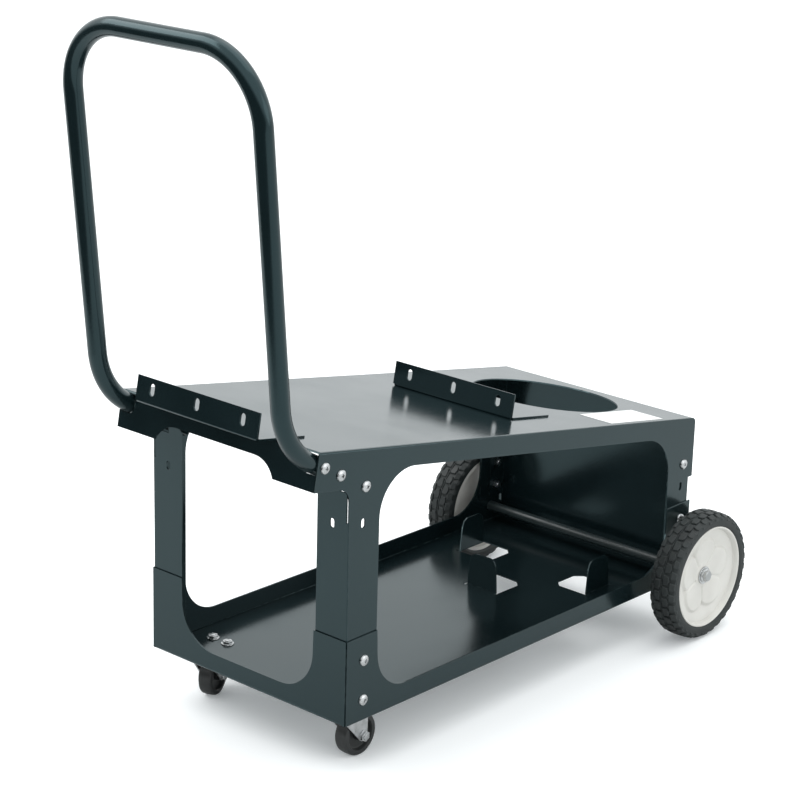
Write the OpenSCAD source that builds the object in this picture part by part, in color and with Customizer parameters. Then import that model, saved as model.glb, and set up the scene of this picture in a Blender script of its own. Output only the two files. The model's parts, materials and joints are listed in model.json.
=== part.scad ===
// Two-level service cart for a portable welder: a sloping upper shelf folded from one sheet,
// a low tray, a bent push handle, two tread wheels on an axle and two swivel casters.
// Axes: +X to the cart's right when it is pushed, +Y towards the big wheels, +Z up, in mm.
// Inside the modules Y = 0 is the shelf's front edge; cart() moves that to the common origin,
// the middle of the overall footprint on the floor.

/* [Sheet metal] */
// Outside width of the upper shelf and its legs
frame_w = 374; // [340:1:410]
// Thickness of every folded sheet
sheet = 2; // [1.5:0.1:3]

/* [Upper shelf] */
// Y of the rear flange's outer face
rear_flange_y = 854; // [780:1:870]
// Lower edge of the rear flange
rear_flange_z = 243; // [200:1:300]
// Downward slope of the shelf towards the rear, degrees
shelf_slope = 10.1; // [6:0.1:14]
// Height of the shelf's top face at its front edge
shelf_front_z = 490.7; // [460:0.5:520]
// Depth of the side flanges between the legs
side_flange_d = 30; // [24:1:40]
// Depth of the front flange at its ends
front_flange_d = 54; // [45:1:60]
// Outside radius of the rear bend
rear_bend_r = 9; // [5:0.5:12]
// Radius of the gas bottle hole
bottle_hole_r = 115; // [90:1:125]
// Distance of the bottle hole from the front edge, along the slope
bottle_hole_s = 722; // [690:1:735]

/* [Legs] */
// Front face of the front legs
leg_front_y = 58; // [50:1:70]
// Width of a front leg seen from the side
leg_side_w = 60; // [50:1:70]
// Width of a front leg seen from the front
leg_face_w = 57; // [45:1:65]
// Front edge of the rear legs
rear_leg_y = 789; // [770:1:800]
// Width of a rear leg
rear_leg_w = 55; // [45:1:60]
// Lower end of the front legs
front_leg_z = 89; // [87:1:100]
// Lower end of the rear legs, above the axle
rear_leg_z = 118; // [112:1:130]

/* [Lower tray] */
// Front face of the tray
tray_y0 = 56; // [50:1:60]
// Rear face of the tray
tray_y1 = 850; // [840:1:860]
// Underside of the tray at its front edge
tray_z0 = 84.3; // [80:0.1:90]
// Fall of the tray towards the rear, degrees
tray_fall = 0.72; // [0:0.01:2]
// Height of the low walls
wall_h = 29.5; // [24:0.5:36]
// Top of the front ears
front_ear_z = 209; // [195:1:220]
// Top of the rear ears
rear_ear_z = 204.5; // [195:0.5:220]
// Radius of the curves between ears and walls
ear_r = 62; // [40:1:70]
// Height of the three tabs around the foot of the bottle
tab_h = 55; // [40:1:60]
// Distance of the tabs from the bottle's axis
tab_reach = 126; // [120:1:130]
// Centre of the bottle's foot
foot_y = 701; // [690:1:710]

/* [Handle] */
// Outside radius of the handle tube
tube_r = 13; // [11:0.1:14]
// Wall of the handle tube
tube_wall = 1.6; // [1.2:0.1:2.5]
// Half the distance between the two uprights
handle_x = 171.8; // [165:0.1:171.9]
// Forward lean of the uprights, degrees
handle_lean = 5.47; // [0:0.01:10]
// Downward angle of the lower ends, degrees
handle_drop = 29.5; // [20:0.1:35]
// Y of the corner where upright and lower end would meet
corner_y = -52; // [-60:1:-40]
// Z of the same corner
corner_z = 502; // [490:1:520]
// Bend radius of that corner
low_bend_r = 110; // [80:1:130]
// Bend radius of the top corners
top_bend_r = 95; // [70:1:110]
// Distance from the corner up to the grip bar
handle_rise = 512.7; // [450:0.1:560]
// Distance from the corner down to the tube's end
handle_tail = 180; // [150:1:190]

/* [Stop brackets] */
// Length of a stop bracket across the shelf
stop_w = 230; // [200:1:260]
// Height of the upright tab
stop_h = 37.5; // [30:0.5:45]
// Depth of the foot lying on the shelf
stop_d = 90.5; // [60:0.5:100]
// Thickness of the stop brackets
stop_t = 2.5; // [2:0.1:3]
// Tab of the front bracket, ahead of the shelf's edge
front_stop_s = -42.5; // [-50:0.5:-30]
// Tab of the rear bracket
rear_stop_s = 490; // [450:1:510]
// Spacing of the three slots
slot_pitch = 85.4; // [70:0.1:95]

/* [Rear wheels] */
// Outside radius of the tyre
tyre_r = 101.6; // [95:0.1:110]
// Radius of the hub's rim
rim_r = 81; // [75:0.1:85]
// Half the tyre's width
tyre_hw = 23; // [20:0.5:26]
// Middle plane of the right wheel
wheel_x = 234; // [228:1:240]
// How much nearer to the tray the left wheel runs
left_wheel_in = 16; // [0:1:16]
// Y of the axle
axle_y = 819.7; // [810:0.1:830]
// Radius of the axle
axle_r = 7.94; // [7:0.01:10]
// Radial clearance of every turning bore
run_gap = 0.06; // [0.02:0.01:0.1]
// Grooves across each half of the tread
tread_n = 32; // [24:1:40]
// How far the hub reaches inwards from its middle plane
hub_back = 23.4; // [21:0.1:24]
// Raised petals on the hub
petal_n = 5; // [3:1:8]

/* [Casters] */
// Swivel axis, from the middle plane
caster_x = 135; // [130:1:150]
// Swivel axis along the cart
caster_y = 109; // [100:1:115]
// Radius of a caster wheel
caster_r = 32; // [28:0.5:34]
// Half the width of its tread
caster_hw = 11; // [9:0.5:13]
// Trail of the wheel behind the swivel axis
caster_trail = 28; // [24:1:30]
// Angle of the left caster at rest, degrees
left_turn = 22; // [-30:1:30]
// Angle of the right caster at rest, degrees
right_turn = 0; // [-30:1:30]
// Width of the mounting plate
plate_w = 46; // [44:1:56]
// Length of the mounting plate
plate_l = 78; // [74:1:84]
// Half the bolt spacing across the cart
bolt_dx = 15; // [12:0.5:17]
// Half the bolt spacing along the cart
bolt_dy = 30; // [29:0.5:31]

/* [Fasteners] */
// Radius of the pan heads
head_r = 8; // [6:0.1:9]
// Height of the pan heads
head_h = 4.6; // [3:0.1:6]
// Radius of the screw shanks
shank_r = 4; // [3:0.1:5]

/* [Hidden] */
$fn = 64;
half_w = frame_w / 2;
axle_z = tyre_r;
// how much thicker than its bends a straight run of the handle is, and how far it laps them
run_step = 0.05;
lap = 0.5;
handle_front_y = corner_y - handle_rise * sin(handle_lean) - tube_r - run_step;
y_mid = (handle_front_y + axle_y + tyre_r) / 2;
hole_gap = 0.25;
graphite = [0.16, 0.19, 0.19];
zinc = [0.75, 0.76, 0.78];
ivory = [0.90, 0.89, 0.86];
rubber = [0.10, 0.11, 0.11];
black_plastic = [0.13, 0.15, 0.15];
handle_screw_y = [9.9, 40.6, 89.6];
front_screw = [[91, 172.9], [91, 114.7]];
rear_ear_screw = [[826, 179], [826, 139]];
rear_leg_screw = [828.2, 268.4];
rear_leg_end_y = rear_leg_y + rear_leg_w;
swivel_top_z = floor_under(caster_y);

// ---- heights and curves -------------------------------------------------

// top face of the sloping shelf above a given Y
function shelf_z(y) = shelf_front_z - y * tan(shelf_slope);
// a line parallel to the shelf, d below its top face
function below_shelf(y, d) = shelf_z(y) - d / cos(shelf_slope);
// a point of the side view, at s down the slope and d below the top face
function in_shelf(s, d) = [s * cos(shelf_slope) - d * sin(shelf_slope),
    shelf_front_z - s * sin(shelf_slope) - d * cos(shelf_slope)];
// underside of the tray, its floor and the top of its low walls
function floor_under(y) = tray_z0 - (y - tray_y0) * tan(tray_fall);
function floor_top(y) = floor_under(y) + sheet;
function wall_top(y) = floor_under(y) + wall_h;
// axis of the handle's lower ends
function tail_z(y) = corner_z - (y - corner_y) * tan(handle_drop);
// points of an arc, both ends included
function arc(c, r, a0, a1, n = 14) =
    [for (i = [0:n]) c + r * [cos(a0 + (a1 - a0) * i / n), sin(a0 + (a1 - a0) * i / n)]];

// ---- placing helpers ----------------------------------------------------

// from the shelf-edge datum to the common origin
module cart() translate([0, -y_mid, 0]) children();

module both_sides() {
    children();
    mirror([1, 0, 0]) children();
}

// a frame lying in the shelf's top face, Y down the slope
module on_shelf() translate([0, 0, shelf_front_z]) rotate([-shelf_slope, 0, 0]) children();

// a frame lying in the tray's underside
module on_tray() translate([0, tray_y0, tray_z0]) rotate([-tray_fall, 0, 0]) children();

// a sheet standing lengthwise at x, drawn in (y, z)
module long_sheet(x, t = sheet) translate([x, 0, 0]) rotate([90, 0, 90]) linear_extrude(t) children();

// a sheet standing crosswise at y, drawn in (x, z)
module cross_sheet(y, t = sheet) translate([0, y + t, 0]) rotate([90, 0, 0]) linear_extrude(t) children();

// a hole along X through one side, at (y, z)
module side_hole(p, r, x0, x1) translate([x0, p[0], p[1]]) rotate([0, 90, 0]) cylinder(r = r, h = x1 - x0);

// an upright slot through a sheet lying in XY, cut along Z
module slot(w, h, t) {
    translate([-w / 2, -(h - w) / 2, -t]) cube([w, h - w, 2 * t]);
    for (s = [-1, 1]) translate([0, s * (h - w) / 2, -t]) cylinder(d = w, h = 2 * t);
}

// ---- upper shelf ----------------------------------------------------------

// outline of one side: flange, front leg and rear leg in one piece, in (y, z)
module shelf_side() {
    up = 90 - shelf_slope;
    bend_y = rear_flange_y - rear_bend_r;
    nose_r = 22;
    nose_y = leg_front_y - nose_r;
    front_r = 60;
    front_y = leg_front_y + leg_side_w + front_r;
    rear_r = 70;
    rear_y = rear_leg_y - rear_r;
    polygon(concat(
        [[0, shelf_front_z]],
        arc([bend_y, below_shelf(bend_y, rear_bend_r)], rear_bend_r, up, 0, 8),
        [[rear_flange_y, rear_flange_z], [rear_leg_end_y, rear_flange_z],
            [rear_leg_end_y, rear_leg_z], [rear_leg_y, rear_leg_z]],
        arc([rear_y, below_shelf(rear_y, side_flange_d + rear_r)], rear_r, 0, up),
        arc([front_y, below_shelf(front_y, side_flange_d + front_r)], front_r, up, 180),
        [[leg_front_y + leg_side_w, front_leg_z], [leg_front_y, front_leg_z]],
        arc([nose_y, below_shelf(nose_y, front_flange_d + nose_r)], nose_r, 0, up, 8),
        [in_shelf(0, front_flange_d)]));
}

// the bent strip across the cart: front flange, top and rear flange, in (y, z)
module shelf_strip() {
    up = 90 - shelf_slope;
    bend_y = rear_flange_y - rear_bend_r;
    c = [bend_y, below_shelf(bend_y, rear_bend_r)];
    polygon(concat(
        [in_shelf(0, front_flange_d), in_shelf(0, 0)],
        arc(c, rear_bend_r, up, 0, 8),
        [[rear_flange_y, rear_flange_z], [rear_flange_y - sheet, rear_flange_z]],
        arc(c, rear_bend_r - sheet, 0, up, 8),
        [in_shelf(sheet, sheet), in_shelf(sheet, front_flange_d)]));
}

// what is cut out of the front flange, in the shelf's (x, -depth): an arch and two tube notches
module flange_cuts() {
    arch_r = 40;
    arch_x = 75;
    notch_x = handle_x - tube_r - 1.5;
    notch_d = 31.5;
    polygon(concat(
        arc([-arch_x, -side_flange_d - arch_r], arch_r, 180, 90, 10),
        arc([arch_x, -side_flange_d - arch_r], arch_r, 90, 0, 10)));
    for (s = [0, 1]) mirror([s, 0]) polygon(concat(
        [[half_w - sheet, -sheet - 0.3], [notch_x, -sheet - 0.3]],
        arc([notch_x + 13, -notch_d + 13], 13, 180, 270, 8),
        [[half_w - sheet, -notch_d]]));
}

// inward face of a front leg, in (x, z): relieved for the tube and along the bend
module leg_face() {
    inner = half_w - leg_face_w;
    polygon([[inner, front_leg_z], [half_w, front_leg_z], [half_w, 377], [half_w - 4.6, 377],
        [half_w - 4.6, 419], [156, 419], [156, 434], [inner + 8, 434], [inner, 426]]);
}

module upper_shelf() {
    cart() color(graphite) difference() {
        union() {
            difference() {
                translate([-half_w, 0, 0]) rotate([90, 0, 90]) linear_extrude(frame_w) shelf_strip();
                on_shelf() cross_sheet(-1, sheet + 2) flange_cuts();
            }
            both_sides() long_sheet(half_w - sheet) shelf_side();
            both_sides() cross_sheet(leg_front_y) leg_face();
        }
        on_shelf() translate([0, bottle_hole_s, -10]) cylinder(r = bottle_hole_r, h = 20, $fn = 96);
        both_sides() {
            for (y = handle_screw_y)
                side_hole([y, tail_z(y)], shank_r + hole_gap, half_w - 5, half_w + 5);
            for (p = concat(front_screw, rear_ear_screw, [rear_leg_screw]))
                side_hole(p, shank_r + hole_gap, half_w - 5, half_w + 5);
            translate([half_w, 86, 371]) rotate([90, 0, 90]) slot(7.5, 13.5, 5);
            translate([half_w, 823.8, 232.8]) rotate([90, 0, 90]) slot(7.5, 13.5, 5);
            translate([157, leg_front_y, 371]) rotate([90, 0, 0]) slot(7.5, 13.5, 5);
        }
    }
}

// ---- rear panel -------------------------------------------------------------

module rear_panel() {
    panel_y = tray_y1 - 2 * sheet;
    return_y = 812;
    inner = half_w - sheet;
    cart() color(graphite) difference() {
        union() {
            cross_sheet(panel_y) polygon([
                [-inner, rear_leg_z], [-inner + 1.5, floor_top(panel_y) + 0.4],
                [inner - 1.5, floor_top(panel_y) + 0.4], [inner, rear_leg_z], [inner, 336], [-inner, 336]]);
            both_sides() long_sheet(inner - sheet)
                polygon([[return_y, rear_leg_z], [panel_y + sheet, rear_leg_z],
                    [panel_y + sheet, 336], [return_y + 6, 336], [return_y, 330]]);
        }
        both_sides() for (p = concat(rear_ear_screw, [rear_leg_screw]))
            side_hole(p, shank_r + hole_gap, inner - 5, inner + 1);
    }
}

// ---- lower tray ---------------------------------------------------------------

// long wall with its front and rear ears, in (y, z)
module tray_side() {
    front_y = leg_front_y + leg_side_w + 1 + ear_r;
    rear_y = rear_leg_y + 1 - ear_r;
    gap_y = tray_y0 + 1.6;
    polygon(concat(
        [[gap_y, floor_under(gap_y)], [gap_y, front_ear_z], [front_y - ear_r - 1.5, front_ear_z]],
        arc([front_y, wall_top(front_y) + ear_r], ear_r, 180, 270),
        arc([rear_y, wall_top(rear_y) + ear_r], ear_r, 270, 360),
        [[rear_y + ear_r, rear_ear_z], [tray_y1, rear_ear_z], [tray_y1, floor_under(tray_y1)]]));
}

// front wall with its ears, in (x, z)
module tray_front() {
    edge = half_w + 0.6;
    ear_x = half_w - leg_face_w - 2.5;
    low = wall_top(tray_y0) - 1;
    polygon(concat(
        [[-edge, tray_z0 + 1], [-edge, front_ear_z], [-ear_x - 0.8, front_ear_z]],
        arc([-ear_x + ear_r, low + ear_r], ear_r, 180, 270),
        arc([ear_x - ear_r, low + ear_r], ear_r, 270, 360),
        [[ear_x + 0.8, front_ear_z], [edge, front_ear_z], [edge, tray_z0 + 1]]));
}

// one window in the floor with its tab bent up along the outer edge, in the tray's frame;
// the tab stands at y = 0 and the window runs towards +y
module window() {
    polygon([[-32, -8], [-29, -8], [-29, 0], [29, 0], [29, -8], [32, -8], [32, 48], [20, 60],
        [-20, 60], [-32, 48]]);
}

module tab() {
    rotate([90, 0, 0]) linear_extrude(sheet)
        polygon([[-29, 0.6], [29, 0.6], [26, tab_h - 14], [22.5, tab_h - 4.5], [15, tab_h],
            [-15, tab_h], [-22.5, tab_h - 4.5], [-26, tab_h - 14]]);
}

// the three places around the bottle's foot, turned so that +y points at its axis
module foot_places() {
    v = foot_y - tray_y0;
    for (a = [0, 90, 270]) translate([0, v, 0]) rotate([0, 0, a]) translate([0, -tab_reach, 0]) children();
}

module lower_tray() {
    cart() color(graphite) difference() {
        union() {
            difference() {
                long_sheet(-half_w - sheet, frame_w + 2 * sheet) polygon([
                    [tray_y0, floor_under(tray_y0)], [tray_y1, floor_under(tray_y1)],
                    [tray_y1, floor_top(tray_y1)], [tray_y0, floor_top(tray_y0)]]);
                on_tray() foot_places() translate([0, 0, -1]) linear_extrude(sheet + 2) window();
            }
            both_sides() long_sheet(half_w) tray_side();
            cross_sheet(tray_y0) tray_front();
            translate([0, 0, floor_under(tray_y1) + 1]) cross_sheet(tray_y1 - sheet)
                translate([-half_w - 1, 0]) square([frame_w + 2, wall_h - 1]);
            on_tray() foot_places() tab();
        }
        both_sides() {
            for (p = concat(front_screw, rear_ear_screw))
                side_hole(p, shank_r + hole_gap, half_w - 5, half_w + 5);
            side_hole([axle_y, axle_z], axle_r + run_gap, half_w - 5, half_w + 5);
            translate([caster_x, 0, 0]) caster_bolt_places()
                translate([0, 0, -5]) cylinder(r = shank_r + hole_gap, h = 12);
        }
    }
}

// ---- handle ---------------------------------------------------------------------

// a bend that starts at the origin along +Z and turns towards -X
module turn(r, a, tube) translate([-r, 0, 0]) rotate([90, 0, 0]) rotate_extrude(angle = a, $fn = 96)
    translate([r, 0]) circle(r = tube);

// the frame at the far end of such a bend
module past_turn(r, a) translate([-r * (1 - cos(a)), 0, r * sin(a)]) rotate([0, -a, 0]) children();

// the frame in the middle of the grip bar: +Z along the bar, +X up the uprights
module on_grip() {
    s = sin(handle_lean);
    c = cos(handle_lean);
    multmatrix([[0, 0, 1, 0], [-s, -c, 0, corner_y - handle_rise * s],
        [c, -s, 0, corner_z + handle_rise * c], [0, 0, 0, 1]]) children();
}

// the solid swept by a round bar bent like the handle, its ends longer by `over`;
// the straight runs are a hair thicker than the bends and reach a little way into them
module handle_sweep(tube, over) {
    low_turn = 90 - handle_lean - handle_drop;
    cut = low_bend_r * tan(low_turn / 2);
    grip = handle_x - top_bend_r;
    upright = handle_rise - top_bend_r - cut;
    run = tube + run_step;
    on_grip() translate([0, 0, -grip - lap]) cylinder(r = run, h = 2 * (grip + lap));
    both_sides() on_grip() translate([0, 0, grip]) {
        turn(top_bend_r, 90, tube);
        past_turn(top_bend_r, 90) rotate([0, 0, 90]) {
            translate([0, 0, -lap]) cylinder(r = run, h = upright + 2 * lap);
            translate([0, 0, upright]) {
                turn(low_bend_r, low_turn, tube);
                past_turn(low_bend_r, low_turn) translate([0, 0, -lap])
                    cylinder(r = run, h = handle_tail - cut + over + lap);
            }
        }
    }
}

module handle_tube() {
    cart() color(graphite) difference() {
        handle_sweep(tube_r, 0);
        handle_sweep(tube_r - tube_wall, 2);
        both_sides() for (y = handle_screw_y)
            side_hole([y, tail_z(y)], shank_r + hole_gap, handle_x + 2, half_w + 5);
    }
}

// ---- stop brackets ----------------------------------------------------------------

// a folded stop with three slots; its tab stands at s along the slope
module stop_bracket(s) {
    on_shelf() translate([0, s, 0]) difference() {
        union() {
            translate([-stop_w / 2, 0, 0]) cube([stop_w, stop_d, stop_t]);
            translate([-stop_w / 2, 0, 0]) cube([stop_w, stop_t, stop_h]);
        }
        for (i = [-1:1]) translate([i * slot_pitch, 0, 22]) rotate([90, 0, 0]) slot(9.5, 17, 6);
        for (i = [-1, 1]) translate([i * stop_w / 2, 0, stop_t / 2]) cube([5, 9, 3], center = true);
    }
}

module front_stop_bracket() cart() color(graphite) stop_bracket(front_stop_s);

module rear_stop_bracket() cart() color(graphite) stop_bracket(rear_stop_s);

module shelf_label() {
    cart() color([0.93, 0.94, 0.93])
        on_shelf() translate([118, 655, 0]) cube([60, 135, 0.4]);
}

// ---- fasteners ----------------------------------------------------------------------

// a domed head standing on z = 0 with a cross recess, its shank going down
module pan_screw(len) {
    difference() {
        rotate_extrude($fn = 40) polygon(concat([[0, 0], [head_r - 0.6, 0], [head_r, 0.6]],
            [for (a = [20:14:90]) [head_r * cos(a) + 0.2, 0.6 + (head_h - 0.6) * sin(a)]], [[0, head_h]]));
        translate([0, 0, head_h]) for (a = [45, 135]) rotate([0, 0, a]) cube([7, 1.7, 4], center = true);
        translate([0, 0, head_h - 2.6]) cylinder(r1 = 0.8, r2 = 2, h = 3, $fn = 16);
    }
    translate([0, 0, -len]) cylinder(r = shank_r, h = len + 0.2, $fn = 32);
}

module hex_nut(h, flange = 0) {
    difference() {
        union() {
            cylinder(d = 15, h = h, $fn = 6);
            if (flange > 0) cylinder(r = flange, h = 1.4, $fn = 40);
        }
        translate([0, 0, -1]) cylinder(r = shank_r + 0.05, h = h + 2, $fn = 32);
    }
}

// screws through one side, their heads on the face at x
module side_screw(p, x, len) translate([x, p[0], p[1]]) rotate([0, 90, 0]) pan_screw(len);

module handle_screws() {
    cart() color(zinc) both_sides() for (y = handle_screw_y)
        side_screw([y, tail_z(y)], half_w, 15);
}

module leg_screws() {
    cart() color(zinc) both_sides() {
        for (p = concat(front_screw, rear_ear_screw)) side_screw(p, half_w + sheet, 14);
        side_screw(rear_leg_screw, half_w, 14);
    }
}

module leg_nuts() {
    cart() color(zinc) both_sides() {
        for (p = front_screw) translate([half_w - sheet - 6.5, p[0], p[1]]) rotate([0, 90, 0]) hex_nut(6.5);
        for (p = concat(rear_ear_screw, [rear_leg_screw]))
            translate([half_w - 2 * sheet - 6.5, p[0], p[1]]) rotate([0, 90, 0]) hex_nut(6.5);
    }
}

// ---- axle and rear wheels ---------------------------------------------------------------

// +Z outwards along the axle, from the wheel's middle plane
// distance of a wheel's middle plane from the middle of the cart
function wheel_plane(side) = side < 0 ? wheel_x - left_wheel_in : wheel_x;

// the frame of a wheel: +Z along the axle and away from the cart, mirrored for the left side
module at_wheel(side) mirror([side < 0 ? 1 : 0, 0, 0])
    translate([wheel_plane(side), axle_y, axle_z]) rotate([0, 90, 0]) children();

// a ring around the axle between two heights in a wheel's frame
module axle_ring(side, z0, z1, r) at_wheel(side) difference() {
    translate([0, 0, z0]) cylinder(r = r, h = z1 - z0);
    translate([0, 0, z0 - 1]) cylinder(r = axle_r + 0.04, h = z1 - z0 + 2);
}

module axle() {
    cart() color(zinc) translate([-wheel_x - 20, axle_y, axle_z]) rotate([0, 90, 0])
        cylinder(r = axle_r, h = 2 * (wheel_x + 20));
}

// tubes between the tray's sides and the wheels
module axle_spacers() {
    cart() color(zinc) for (side = [-1, 1])
        axle_ring(side, half_w + sheet - wheel_plane(side), -hub_back - 1.4, 12);
}

module axle_washers() cart() color(zinc) for (side = [-1, 1]) axle_ring(side, 10.4, 12.2, 14);

module axle_nuts() {
    cart() color(zinc) for (side = [-1, 1]) at_wheel(side) translate([0, 0, 12.2]) difference() {
        union() {
            cylinder(r = 11, h = 2.5);
            cylinder(d = 19, h = 7, $fn = 6);
        }
        translate([0, 0, -1]) cylinder(r = axle_r + 0.04, h = 9.5);
    }
}

module tyre(side) {
    at_wheel(side) difference() {
        rotate_extrude($fn = 128) polygon([
            [rim_r, -21], [86, -tyre_hw], [94, -tyre_hw], [99, -20], [tyre_r, -13], [tyre_r, -1.2],
            [tyre_r - 2.4, -0.8], [tyre_r - 2.4, 0.8], [tyre_r, 1.2], [tyre_r, 13], [99, 20],
            [94, tyre_hw], [86, tyre_hw], [rim_r, 21]]);
        for (i = [0:tread_n - 1], s = [0, 1]) rotate([0, 0, (i + s / 2) * 360 / tread_n]) mirror([0, 0, s])
            translate([tyre_r + 1, 0, 13]) rotate([18, 0, 0]) cube([7, 2.6, 21], center = true);
    }
}

module left_tyre() cart() color(rubber) tyre(-1);

module right_tyre() cart() color(rubber) tyre(1);

module hub(side) {
    at_wheel(side) difference() {
        union() {
            rotate_extrude($fn = 96) polygon([
                [4, -hub_back], [15, -hub_back], [16, -6], [71, 1], [75, -21], [rim_r - 0.04, -21],
                [rim_r - 0.04, 22], [77, 22], [73, 8], [24, 1], [18, 10], [4, 10]]);
            for (i = [0:petal_n - 1]) rotate([0, 0, 90 + i * 360 / petal_n]) translate([0, 0, 0.5])
                linear_extrude(10) polygon(concat([[20, -11]], arc([62, -4], 10, -70, 0, 6),
                    arc([62, 4], 10, 0, 70, 6), [[20, 11]]));
        }
        translate([0, 0, -40]) cylinder(r = axle_r + run_gap, h = 60);
    }
}

module left_hub() cart() color(ivory) hub(-1);

module right_hub() cart() color(ivory) hub(1);

// ---- casters ---------------------------------------------------------------------------------

// the four mounting holes of a caster, square to the tray's underside
module caster_bolt_places() {
    on_tray() for (i = [-1, 1], j = [-1, 1])
        translate([i * bolt_dx, caster_y - tray_y0 + j * bolt_dy, 0]) children();
}

// right or left side
module at_caster(side) translate([side * caster_x, caster_y, 0]) children();

// the turned frame of the swivelling parts: +Y along the trail, +X along the wheel's axis
module on_swivel(side) at_caster(side) rotate([0, 0, side < 0 ? left_turn : right_turn]) children();

module caster_plate(side) {
    difference() {
        union() {
            translate([side * caster_x, 0, 0]) on_tray() translate([0, caster_y - tray_y0, 0]) {
                translate([-plate_w / 2, -plate_l / 2, -2.5]) cube([plate_w, plate_l, 2.5]);
                translate([0, 0, -5]) cylinder(r1 = 19, r2 = 22, h = 3);
            }
        }
        translate([side * caster_x, 0, 0]) caster_bolt_places()
            translate([0, 0, -8]) cylinder(r = shank_r + hole_gap, h = 12);
        at_caster(side) translate([0, 0, 60]) cylinder(r = 4.05, h = 21.5);
    }
}

module left_caster_plate() cart() color(zinc) caster_plate(-1);

module right_caster_plate() cart() color(zinc) caster_plate(1);

// rivets that hold the forks under their plates
module kingpins() {
    cart() color(zinc) for (side = [-1, 1]) at_caster(side) {
        translate([0, 0, 74.3]) cylinder(r = 4, h = 7.1);
        translate([0, 0, 71.8]) cylinder(r1 = 6, r2 = 7.5, h = 2.5);
    }
}

module caster_screws() {
    cart() color(zinc) both_sides() translate([caster_x, 0, 0]) caster_bolt_places() {
        translate([0, 0, -6.5]) cylinder(d = 15, h = 4, $fn = 6);
        translate([0, 0, -4]) cylinder(r = shank_r, h = 11.8, $fn = 32);
    }
}

module caster_nuts() {
    cart() color(zinc) both_sides() translate([caster_x, 0, 0]) caster_bolt_places()
        translate([0, 0, sheet]) hex_nut(4.6, 9.6);
}

// one cheek of the fork, in (trail, z)
module fork_cheek() {
    polygon(concat([[-17, 77.6], [-17, 70]], arc([caster_trail, caster_r], 8.5, 222, 372, 12),
        [[caster_trail + 9, 58], [22, 70], [20, 77.6]]));
}

module fork(side) {
    inner = caster_hw + 2.2;
    on_swivel(side) difference() {
        union() {
            for (s = [0, 1]) mirror([s, 0, 0]) long_sheet(inner, 2.2) fork_cheek();
            translate([-inner - 2.2, -17, 75.1]) cube([2 * inner + 4.4, 37, 2.5]);
            translate([0, 0, 75.1]) cylinder(r = 19, h = 2.5);
            difference() {
                translate([0, 0, 66]) cylinder(r = 17.6, h = 10);
                translate([0, 0, 65]) cylinder(r = 15.6, h = 10.1);
            }
        }
        translate([0, 0, 70]) cylinder(r = 4 + run_gap, h = 10);
        translate([-30, caster_trail, caster_r]) rotate([0, 90, 0]) cylinder(r = 5.05, h = 60);
    }
}

module left_fork() cart() color(zinc) fork(-1);

module right_fork() cart() color(zinc) fork(1);

module caster_wheel(side) {
    on_swivel(side) translate([0, caster_trail, caster_r]) rotate([0, 90, 0]) difference() {
        rotate_extrude($fn = 72) polygon([
            [3, -caster_hw - 1.8], [9, -caster_hw - 1.8], [10, -5], [22, -5], [25, -caster_hw],
            [31, -caster_hw], [caster_r, -caster_hw + 3], [caster_r, caster_hw - 3], [31, caster_hw],
            [25, caster_hw], [22, 5], [10, 5], [9, caster_hw + 1.8], [3, caster_hw + 1.8]]);
        translate([0, 0, -20]) cylinder(r = 5 + run_gap, h = 40);
    }
}

module left_caster_wheel() cart() color(black_plastic) caster_wheel(-1);

module right_caster_wheel() cart() color(black_plastic) caster_wheel(1);

// bolt through the fork, its head on the inner side of the cart
module caster_bolt(side) {
    out = caster_hw + 4.4;
    on_swivel(side) translate([0, caster_trail, caster_r]) rotate([0, 90, 0]) {
        translate([0, 0, -out - 4]) cylinder(d = 15, h = 4, $fn = 6);
        translate([0, 0, -out - 0.2]) cylinder(r = 5, h = 2 * out + 7);
    }
}

module left_caster_bolt() cart() color(zinc) caster_bolt(-1);

module right_caster_bolt() cart() color(zinc) caster_bolt(1);

module caster_nut(side) {
    out = caster_hw + 4.4;
    on_swivel(side) translate([out, caster_trail, caster_r]) rotate([0, 90, 0]) difference() {
        cylinder(d = 16, h = 5.5, $fn = 6);
        translate([0, 0, -1]) cylinder(r = 5.05, h = 8);
    }
}

module left_caster_nut() cart() color(zinc) caster_nut(-1);

module right_caster_nut() cart() color(zinc) caster_nut(1);

upper_shelf();
rear_panel();
lower_tray();
handle_tube();
front_stop_bracket();
rear_stop_bracket();
shelf_label();
handle_screws();
leg_screws();
leg_nuts();
axle();
axle_spacers();
axle_washers();
axle_nuts();
left_tyre();
right_tyre();
left_hub();
right_hub();
left_caster_plate();
right_caster_plate();
kingpins();
caster_screws();
caster_nuts();
left_fork();
right_fork();
left_caster_wheel();
right_caster_wheel();
left_caster_bolt();
right_caster_bolt();
left_caster_nut();
right_caster_nut();
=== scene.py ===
"""Looks of an empty two-level welder cart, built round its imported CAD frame.

Everything is in metres in the part's own frame: +Y runs from the handle end to the two large
wheels, +Z is up and the floor is at Z = 0. Folded sheets start from a merged copy of their CAD
node, whose folds and edges are then rounded. The tube, wheels and fasteners are modelled afresh.
"""
import json
import logging
import math
from contextlib import contextmanager
from dataclasses import dataclass
from enum import Enum
from typing import Callable, Iterator, Optional, Sequence, Union

import bmesh
import bpy
from mathutils import Matrix, Vector


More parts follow.
